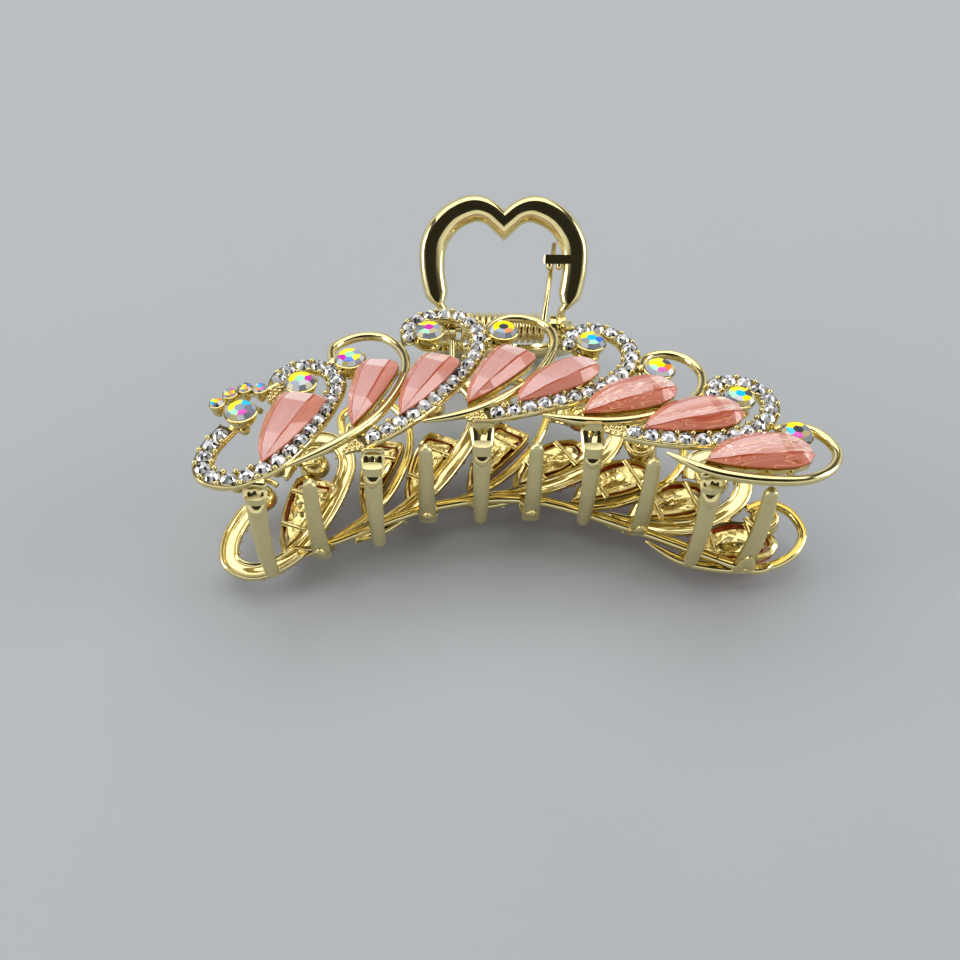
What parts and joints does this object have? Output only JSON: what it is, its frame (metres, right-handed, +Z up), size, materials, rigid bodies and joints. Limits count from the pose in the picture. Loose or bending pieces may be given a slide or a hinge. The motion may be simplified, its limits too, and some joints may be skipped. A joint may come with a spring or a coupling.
{
  "type": "hair claw clip",
  "caption": "Spring claw hair clip: two arched cast jaws with laced teeth, heart-shaped squeeze levers and leaf loops set with drop-shaped and round stones.",
  "frame": {"origin": "middle of the footprint, on the surface that the closed clip lies on", "axes": "+Z up from that surface, +X along the hinge pin and the width of the jaws, +Y from the teeth to the heart levers"},
  "size_m": [0.0828, 0.0568, 0.0328],
  "materials": {
    "gold_plate": "polished pale gold plating over cast zinc alloy, satin on the tooth faces",
    "pin_metal": "polished gold plating",
    "spring_wire": "gold-plated spring steel wire",
    "pink_resin": "translucent salmon pink faceted resin with fine glitter",
    "clear_rhinestone": "foil-backed clear faceted rhinestone",
    "rainbow_rhinestone": "foil-backed faceted rhinestone with a rainbow coating"
  },
  "bodies": {
    "rear": {"rear_jaw": "gold_plate", "rear_drop_stone_1": "pink_resin", "rear_drop_stone_2": "pink_resin", "rear_drop_stone_3": "pink_resin", "rear_drop_stone_4": "pink_resin", "rear_drop_stone_5": "pink_resin", "rear_drop_stone_6": "pink_resin", "rear_drop_stone_7": "pink_resin", "rear_drop_stone_8": "pink_resin", "rear_round_stone_1": "rainbow_rhinestone", "rear_round_stone_2": "rainbow_rhinestone", "rear_round_stone_3": "rainbow_rhinestone", "rear_round_stone_4": "rainbow_rhinestone", "rear_round_stone_5": "rainbow_rhinestone", "rear_round_stone_6": "rainbow_rhinestone", "rear_round_stone_7": "rainbow_rhinestone", "rear_round_stone_8": "rainbow_rhinestone", "rear_round_stone_9": "rainbow_rhinestone", "rear_small_stones_1": "clear_rhinestone", "rear_small_stones_3": "clear_rhinestone", "rear_small_stones_5": "clear_rhinestone", "rear_small_stones_7": "clear_rhinestone", "rear_accent_stones": "rainbow_rhinestone", "hinge_pin": "pin_metal", "spring_coil": "spring_wire"},
    "front": {"front_jaw": "gold_plate", "front_drop_stone_1": "pink_resin", "front_drop_stone_2": "pink_resin", "front_drop_stone_3": "pink_resin", "front_drop_stone_4": "pink_resin", "front_drop_stone_5": "pink_resin", "front_drop_stone_6": "pink_resin", "front_drop_stone_7": "pink_resin", "front_drop_stone_8": "pink_resin", "front_round_stone_1": "rainbow_rhinestone", "front_round_stone_2": "rainbow_rhinestone", "front_round_stone_3": "rainbow_rhinestone", "front_round_stone_4": "rainbow_rhinestone", "front_round_stone_5": "rainbow_rhinestone", "front_round_stone_6": "rainbow_rhinestone", "front_round_stone_7": "rainbow_rhinestone", "front_round_stone_8": "rainbow_rhinestone", "front_round_stone_9": "rainbow_rhinestone", "front_small_stones_1": "clear_rhinestone", "front_small_stones_3": "clear_rhinestone", "front_small_stones_5": "clear_rhinestone", "front_small_stones_7": "clear_rhinestone", "front_accent_stones": "rainbow_rhinestone", "spring_leg": "spring_wire"}
  },
  "joints": [
    {"name": "jaw_hinge", "type": "hinge", "parent": "rear", "child": "front", "pos_m": [-0.00159, 0.01518, 0.01575], "axis": [-1, 0, 0], "range_deg": [0, 75], "stiffness_Nm_per_rad": 0.03, "springref_deg": -45.84}
  ]
}
